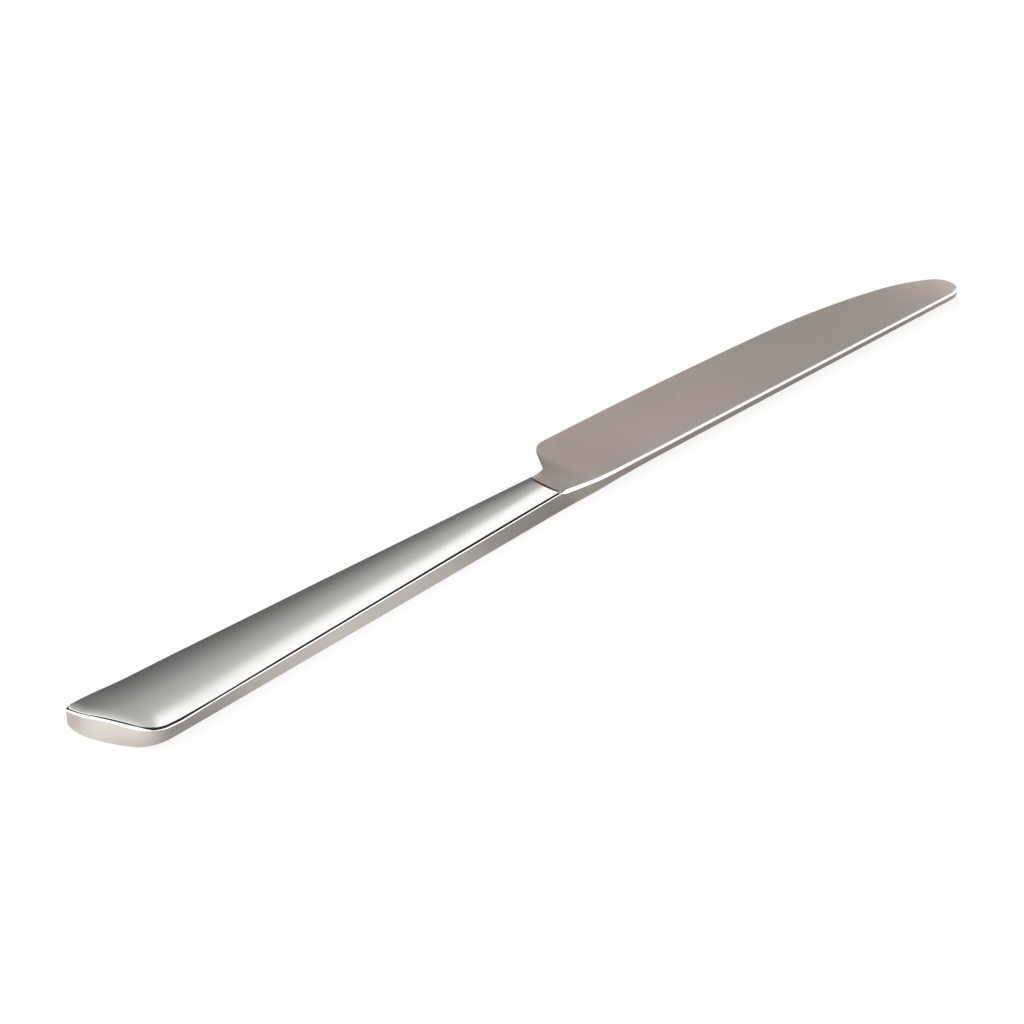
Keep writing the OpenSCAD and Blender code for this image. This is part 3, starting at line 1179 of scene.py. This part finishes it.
@dataclass(frozen=True)
class Studio:
    """A plain studio: a pale floor, soft boxes above it, and the camera.

    The soft boxes are part of the world. Its light depends on the angle round the knife's
    length, from 0 at the horizon behind it over 90 overhead to 180 at the horizon in front, and
    on the direction's part along the knife, x, from -1 behind the butt to 1 beyond the tip.
    """

    target: Triple = (43.61 * MM, -0.065 * MM, 2.375 * MM)
    azimuth: float = math.radians(-45.325)
    elevation: float = math.radians(32.071)
    distance: float = 426.1 * MM
    lens: float = 80.0
    clip: Span = (0.01, 20.0)
    steel_share: float = 0.63
    white: float = 2.0
    tones_reach: float = 100.0
    hinge: float = 31.5
    spread_from: float = 0.466
    spread_gain: float = 5.8
    late_from: float = 0.57
    late_gain: float = 440
    spread_end: Step = Step(0.625, 0.655)
    slip: Step = Step(0.585, 0.61, 2.5)
    box_start: Step = Step(0.26, 0.42)
    front: Step = Step(155, 165, 0.8)
    shade: Step = Step(0.62, 0.70, 0.22)
    shade_end: Step = Step(0.74, 0.82)
    shade_top: Step = Step(55, 75)
    card: Card = Card()
    tones: Table = (
        (0, 86), (16, 99), (20, 107), (25.5, 118), (28.5, 126), (35, 140), (41, 156),
        (46, 165), (50, 171), (54, 180), (57.5, 190), (60.5, 205), (64, 228), (67, 241), (72, 252),
    )
    floor_side: float = 3.0
    floor_drop: float = 0.02 * MM
    floor_grey: float = 0.9
    camera_white: float = 0.88
    # Where the floor's painted glow for glossy rays turns white in front of the knife, and how
    # much darker it is painted behind the knife.
    near_end: Step = Step(14 * MM, 26 * MM)
    behind: Step = Step(1 * MM, 9 * MM, 0.32)
    lamp_size: float = 0.9
    lamp_energy: float = 3.0
    lamp_place: Triple = (0.06, 0.1, 1.1)
    # The painted shade and light of the floor's glow for glossy rays, which the knife's walls
    # reflect, at millimetres along the knife.
    mirror_from: float = -65 * MM
    mirror_to: float = 185 * MM
    painted_reflection_tones: Table = (
        (-65, 1.2), (-53, 1.15), (-48, 0.8), (-44, 0.5), (-39, 0.41), (-33, 0.46), (-25, 0.63),
        (-13, 0.78), (-4, 0.84), (6, 0.76), (17, 0.72), (26, 0.63), (36, 0.43), (45, 0.36),
        (53, 0.33), (63, 0.36), (78, 0.38), (113, 0.38), (185, 0.42),
    )

    def camera(self) -> None:
        """The camera, at the photograph's angle."""
        data = bpy.data.cameras.new("camera")
        data.lens = self.lens
        data.clip_start, data.clip_end = self.clip
        seat = bpy.data.objects.new("camera", data)
        flat, height = math.cos(self.elevation), math.sin(self.elevation)
        back = Vector((math.sin(self.azimuth) * flat, -math.cos(self.azimuth) * flat, height))
        seat.location = Vector(self.target) + back * self.distance
        seat.rotation_euler = (math.pi / 2 - self.elevation, 0, self.azimuth)
        bpy.context.scene.collection.objects.link(seat)
        bpy.context.scene.camera = seat

    def world(self) -> None:
        """The soft boxes, and the dark card that draws the line along the handle's rim."""
        made = bpy.data.worlds.new("studio")
        bpy.context.scene.world = made
        graph = Graph(made)
        way = graph.node("TexCoord", output="Generated")
        parts = graph.node("SeparateXYZ", {0: way})
        x, y, z = (Signal(graph, s) for s in parts.socket.node.outputs)
        angle = z.angle_to(y)
        level = self._overhead(graph, x, angle) * (1 - self.card.shade(x, y, angle))
        sky = graph.node("Background", {"Color": (1, 1, 1, 1), "Strength": level})
        backdrop = graph.node("Background", {"Color": (1, 1, 1, 1), "Strength": 1.0})
        rays = graph.node("LightPath", output="Is Camera Ray")
        shown = graph.node("MixShader", {0: rays, 1: sky, 2: backdrop})
        graph.node("OutputWorld", {"Surface": shown})

    def _overhead(self, graph: Graph, x: Signal, angle: Signal) -> Signal:
        """The light of the soft boxes.

        Args:
            graph: The world's node tree.
            x: The direction's part along the knife.
            angle: The direction's angle round the knife's length, in degrees.

        Returns:
            The strength of the light from there.
        """
        late = (x - self.late_from).top(0)
        spread = (x - self.spread_from).top(0) * self.spread_gain + late * late * self.late_gain
        spread = 1 + spread * self.spread_end.after(x)
        turned = self.hinge + (angle - self.hinge) * spread - self.slip.over(x)
        reach = self.tones_reach
        stops = [(a / reach, (grey(t) / self.steel_share,) * 3) for a, t in self.tones]
        box = graph.ramp(stops, turned / reach)
        side = self.box_start.after(x)
        light = (box + self.front.over(angle)) * (1 - side) + side * self.white
        shade = self.shade.over(x) - self.shade_end.over(x)
        return light * (1 - shade * self.shade_top.after(angle))

    def floor(self) -> Piece:
        """The pale floor, which shows as white and keeps the knife's soft shadow.

        To glossy rays it glows instead with painted shade and light, set at millimetres along the
        knife, painted darker behind it, and white far in front of it; the knife's walls reflect
        this.

        Returns:
            The floor.
        """
        deselect()
        bpy.ops.mesh.primitive_plane_add(size=self.floor_side, location=(0, 0, -self.floor_drop))
        floor = bpy.context.active_object
        floor.name = "floor"
        made = bpy.data.materials.new("floor")
        graph = Graph(made)
        paint = graph.node("BsdfDiffuse", {"Color": (*(self.floor_grey,) * 3, 1)})
        white = graph.node("Emission", {"Color": (1, 1, 1, 1), "Strength": 1.0})
        path = graph.node("LightPath", output="Is Camera Ray")
        rays = {s.name: Signal(graph, s) for s in path.socket.node.outputs}
        shown_white = rays["Is Camera Ray"] * self.camera_white
        lit = graph.node("MixShader", {0: shown_white, 1: paint, 2: white})
        place = graph.node("TexCoord", output="Object")
        parts = graph.node("SeparateXYZ", {0: place})
        x, y, _ = (Signal(graph, s) for s in parts.socket.node.outputs)
        # Painted shade and light that only glossy rays see: a glow set along and across the knife.
        length = self.mirror_to - self.mirror_from
        stops = [((a * MM - self.mirror_from) / length, (t, t, t)) for a, t in self.painted_reflection_tones]
        near = graph.ramp(stops, (x - self.mirror_from) / length)
        far = self.near_end.over(0 - y)
        light = near * (1 - far) * self.behind.after(y) + far * self.white
        painted_glow = graph.node("Emission", {"Color": light, "Strength": 1.0})
        mirrored = rays["Is Glossy Ray"].top(rays["Is Transmission Ray"])
        shown = graph.node("MixShader", {0: mirrored, 1: lit, 2: painted_glow})
        graph.node("OutputMaterial", {"Surface": shown})
        floor.data.materials.append(made)
        return floor

    def lamps(self) -> None:
        """One large soft lamp overhead, which draws the shadow on the floor."""
        data = bpy.data.lights.new("overhead", "AREA")
        data.shape, data.size = "DISK", self.lamp_size
        data.energy = self.lamp_energy
        lamp = bpy.data.objects.new("overhead", data)
        lamp.location = self.lamp_place
        lamp.visible_glossy = False
        bpy.context.scene.collection.objects.link(lamp)


def dress(node: Piece, material: Material) -> None:
    """Gives a solid of the frame its finish, and reports it.

    Args:
        node: The solid's node.
        material: The finish.
    """
    node.data.materials.clear()
    node.data.materials.append(material)
    log.info("%s stays as it is: %d faces", node.name, len(node.data.polygons))


def stand_in(piece: Piece, node: str) -> None:
    """Lets a piece ride on the knife in the place of a solid, and reports it.

    Args:
        piece: The piece.
        node: The solid's node.
    """
    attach(piece, "root")
    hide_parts(node)
    log.info("%s stands for %s: %d faces", piece.name, node, len(piece.data.polygons))


def main() -> None:
    """Loads the frame and builds the knife and the studio round it."""
    logging.basicConfig(level=logging.INFO, format="%(name)s: %(message)s")
    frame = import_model()
    nodes = frame["nodes"]

    satin = SATIN.material()
    wall = WALL.material()
    polished = POLISHED.material()
    braze = SEAM_BRAZE.material()
    # The dark braze of the mouth line, also painted shade where it swells in the middle.
    dark_braze = MOUTH_BRAZE_AND_SHADE.material()
    cement = Cement().material()

    _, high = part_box("lower_shell")
    seam_low, seam_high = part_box("seam_braze")
    mouth_x = high.x + Handle.mouth_joint
    handle = Handle(mouth_x=mouth_x, seam_z=(seam_low.z + seam_high.z) / 2)
    finishes = {"polished": polished, "satin": wall}
    stand_in(handle.shell(Side.UPPER, finishes), "upper_shell")
    lower = handle.underside().shell(Side.LOWER, finishes)
    stand_in(lower, "lower_shell")

    line = handle.mouth_line(dark_braze, wall)
    stand_in(line, "mouth_braze")

    stand_in(Blade(handle).build(satin, polished), "blade")

    dress(nodes["seam_braze"], braze)
    dress(nodes["handle_filler"], cement)

    studio = Studio()
    studio.camera()
    studio.world()
    studio.lamps()
    studio.floor()
    bpy.context.scene.view_settings.view_transform = "Standard"


if __name__ == "__main__":
    main()
